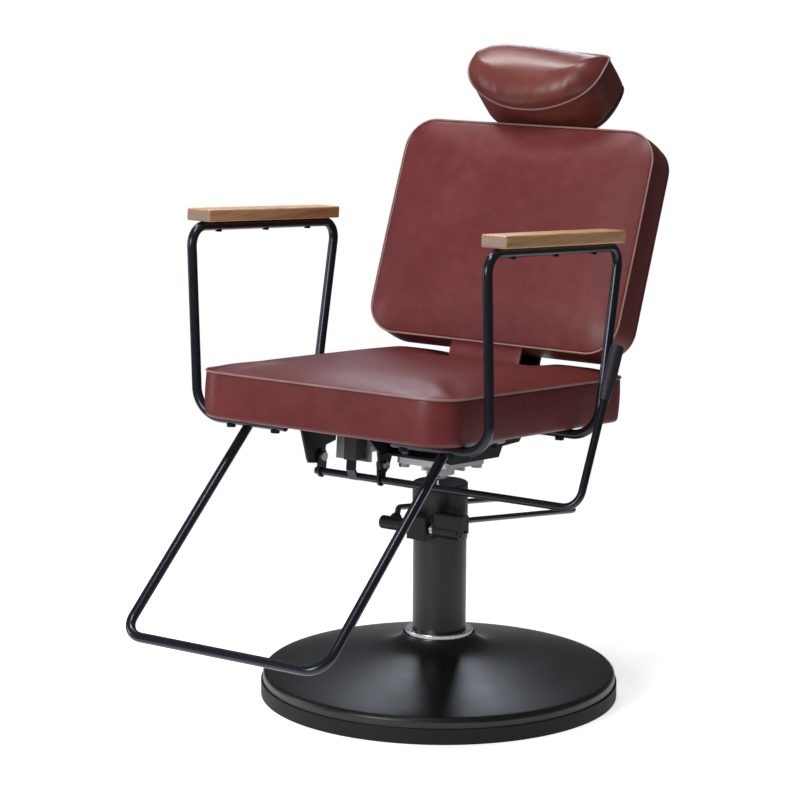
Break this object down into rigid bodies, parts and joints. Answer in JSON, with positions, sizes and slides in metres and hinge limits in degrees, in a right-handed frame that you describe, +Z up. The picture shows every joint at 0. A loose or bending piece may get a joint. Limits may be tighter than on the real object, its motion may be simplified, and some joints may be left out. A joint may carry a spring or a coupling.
{
  "type": "hydraulic barber chair",
  "caption": "Hydraulic barber chair with round pedestal base, pump pedal, swivel seat, reclining back, tilting headrest, armrests and tube footrest.",
  "frame": {"origin": "centre of the round base on the floor", "axes": "+Z up, -Y is the way the chair faces, +X to the sitter's left"},
  "size_m": [0.6289, 0.9922, 1.0956],
  "materials": {
    "leather": "smooth maroon upholstery leather with a soft satin sheen",
    "wood": "oiled mid-brown hardwood, satin",
    "plywood": "raw plywood",
    "black_tube": "black semi-gloss powder coat",
    "black_frame": "black semi-gloss paint",
    "black_base": "black satin enamel",
    "rubber": "matt black rubber",
    "grip": "black rubber grip",
    "chrome": "bright chrome",
    "steel": "turned bright steel",
    "zinc": "zinc-plated steel",
    "cast_alu": "cast aluminium, bead blasted",
    "black_plastic": "black moulded plastic",
    "bush": "natural acetal bearing plastic",
    "seal": "nitrile seal",
    "cast_iron": "bare cast iron"
  },
  "bodies": {
    "base": {"base_plate": "cast_iron", "base_rim_band": "rubber", "base_dome": "black_base", "base_bolts": "zinc", "column_tube": "black_base", "column_ring": "steel", "column_collar": "black_base", "column_cap": "black_base", "guide_bush": "bush", "wiper_seal": "seal", "pump_cylinder": "zinc", "pump_block": "cast_iron", "pump_housing": "black_frame"},
    "ram": {"ram": "chrome", "ram_piston": "steel", "piston_seal": "seal"},
    "pump_pedal": {"pedal_shaft": "black_frame", "pedal_clamps": "black_frame", "pedal_rod": "black_tube", "pedal_spring": "zinc"},
    "pump_plunger": {"pump_plunger": "steel"},
    "seat": {"seat_hub": "cast_alu", "hub_bush": "bush", "plate_bolts": "zinc", "seat_frame": "black_frame", "hinge_bushes": "bush", "seat_board": "plywood", "seat_cushion": "leather", "under_seat_bolts": "black_frame", "armrest_tube_left": "black_tube", "armrest_tube_right": "black_tube", "armrest_pad_left": "wood", "armrest_pad_right": "wood", "armrest_pad_screws": "black_frame", "footrest_tube": "black_tube", "lever_hanger_left": "black_frame", "lever_hanger_right": "black_frame", "lever_pivot_bolts": "zinc", "lock_bracket": "zinc", "release_head": "black_plastic", "lock_rod": "chrome", "recline_spring": "zinc"},
    "lock_cylinder": {"lock_cylinder": "black_frame"},
    "valve_pin": {"valve_pin": "steel"},
    "release_lever": {"release_lever": "black_tube", "release_grip": "grip"},
    "backrest": {"hinge_shaft": "steel", "recline_arm": "black_frame", "spine_bracket": "black_frame", "back_board": "plywood", "back_cushion": "leather", "back_rear_panel": "leather", "hinge_cover": "leather", "headrest_guide": "black_frame", "back_screws": "zinc"},
    "headrest_post": {"headrest_bar": "black_frame"},
    "headrest": {"headrest_cushion": "leather", "headrest_board": "leather", "headrest_bracket": "black_frame", "headrest_pin": "zinc"}
  },
  "joints": [
    {"name": "seat_lift", "type": "slide", "parent": "base", "child": "ram", "axis": [0, 0, 1], "range_m": [0, 0.155]},
    {"name": "seat_swivel", "type": "hinge", "parent": "ram", "child": "seat", "pos_m": [0, 0, 0.4], "axis": [0, 0, 1], "continuous": true},
    {"name": "pedal_pump", "type": "hinge", "parent": "base", "child": "pump_pedal", "pos_m": [0, -0.06, 0.3], "axis": [-1, 0, 0], "range_deg": [0, 9], "stiffness_Nm_per_rad": 40, "springref_deg": -6.88},
    {"name": "plunger_stroke", "type": "slide", "parent": "base", "child": "pump_plunger", "axis": [0, 0, -1], "range_m": [0, 0.006]},
    {"name": "recline", "type": "hinge", "parent": "seat", "child": "backrest", "pos_m": [0, 0.1751, 0.45536], "axis": [-1, 0, 0], "range_deg": [0, 40]},
    {"name": "lock_stroke", "type": "slide", "parent": "seat", "child": "lock_cylinder", "axis": [0, -0.9971, 0.076], "range_m": [0, 0.036], "deforming": ["recline_spring"]},
    {"name": "release_pull", "type": "hinge", "parent": "seat", "child": "release_lever", "pos_m": [0, -0.06188, 0.39885], "axis": [-1, 0, 0], "range_deg": [0, 9], "stiffness_Nm_per_rad": 12, "springref_deg": -11.46},
    {"name": "valve_press", "type": "slide", "parent": "seat", "child": "valve_pin", "axis": [0, 0.9971, -0.076], "range_m": [0, 0.0048]},
    {"name": "headrest_height", "type": "slide", "parent": "backrest", "child": "headrest_post", "axis": [0, 0.3658, 0.9307], "range_m": [0, 0.09]},
    {"name": "headrest_tilt", "type": "hinge", "parent": "headrest_post", "child": "headrest", "pos_m": [0, 0.36209, 0.97203], "axis": [-1, 0, 0], "range_deg": [-7, 10]}
  ],
  "couplings": [
    {"joint": "plunger_stroke", "follows": "pedal_pump", "m_per_rad": 0.028881},
    {"joint": "lock_stroke", "follows": "recline", "m_per_rad": 0.049971},
    {"joint": "valve_press", "follows": "release_pull", "m_per_rad": 0.029}
  ]
}
